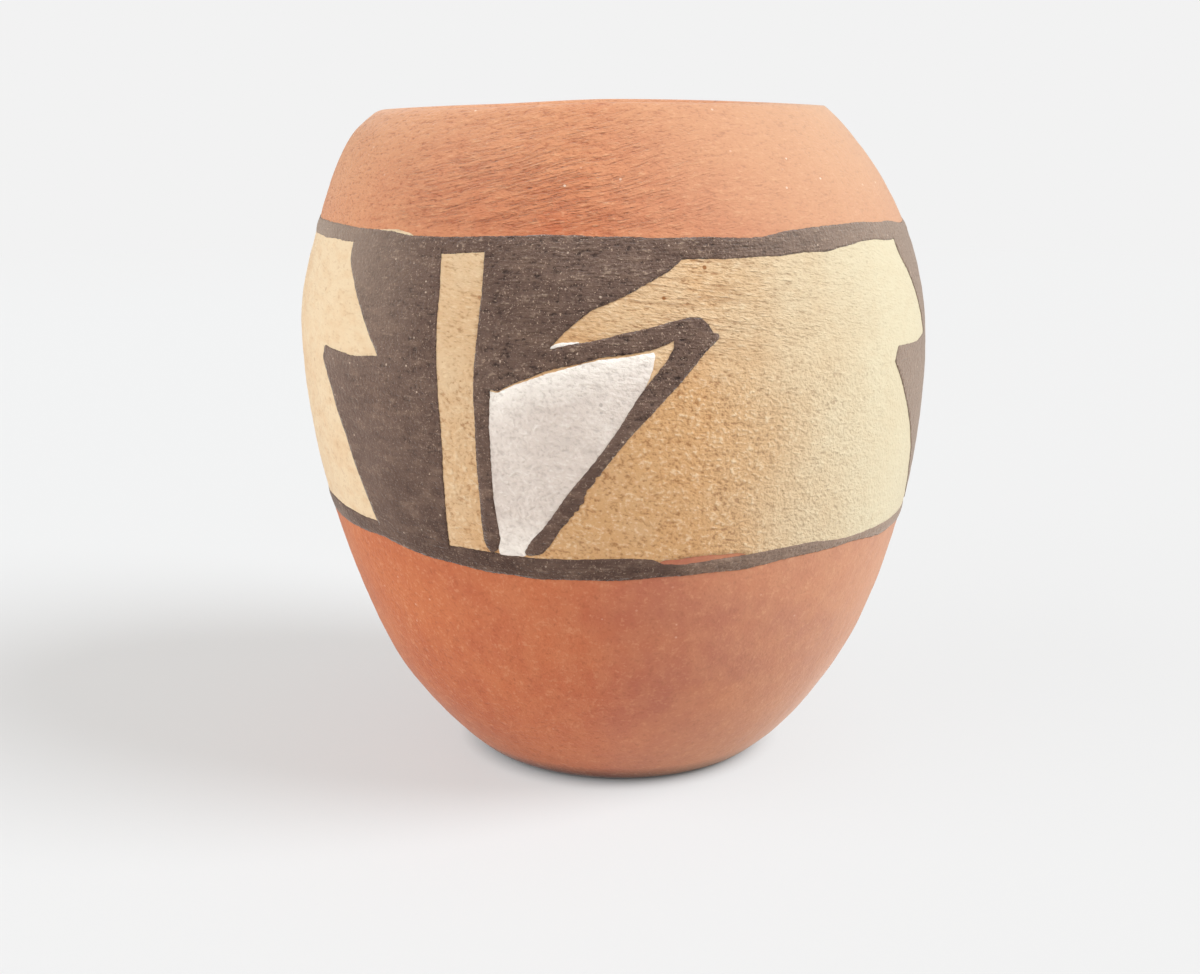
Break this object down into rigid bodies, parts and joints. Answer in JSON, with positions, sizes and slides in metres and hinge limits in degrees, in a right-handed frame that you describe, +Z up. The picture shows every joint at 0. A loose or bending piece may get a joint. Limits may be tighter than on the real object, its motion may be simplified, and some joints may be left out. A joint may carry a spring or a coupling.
{
  "type": "clay pot",
  "caption": "Small round hand-built clay pot with a narrowed mouth, a buff slip band and a painted geometric design.",
  "frame": {"origin": "middle of the flat foot, on the surface that the pot stands on", "axes": "+Z up towards the mouth, -Y towards the painted front, +X to the right seen from the front"},
  "size_m": [0.0667, 0.0668, 0.07],
  "materials": {
    "red_clay": "unglazed red earthenware, fine gritty, dull",
    "buff_slip": "brushed buff clay slip, unglazed, dull",
    "dark_paint": "brown-black mineral paint, fired, dull",
    "white_slip": "brushed white clay slip, unglazed, dull"
  },
  "bodies": {
    "root": {"moulded_base_cup": "red_clay", "wall_coil_1": "red_clay", "wall_coil_2": "red_clay", "wall_coil_3": "red_clay", "wall_coil_4": "red_clay", "wall_coil_5": "red_clay", "rim_coil": "red_clay", "buff_slip_band": "buff_slip", "lower_border_line": "dark_paint", "upper_border_line": "dark_paint", "front_barbed_panel": "dark_paint", "front_bent_figure": "dark_paint", "front_white_patch": "white_slip", "right_barbed_panel": "dark_paint", "right_bent_figure": "dark_paint", "right_white_patch": "white_slip", "left_barbed_panel": "dark_paint", "left_bent_figure": "dark_paint", "left_white_patch": "white_slip"}
  },
  "joints": []
}
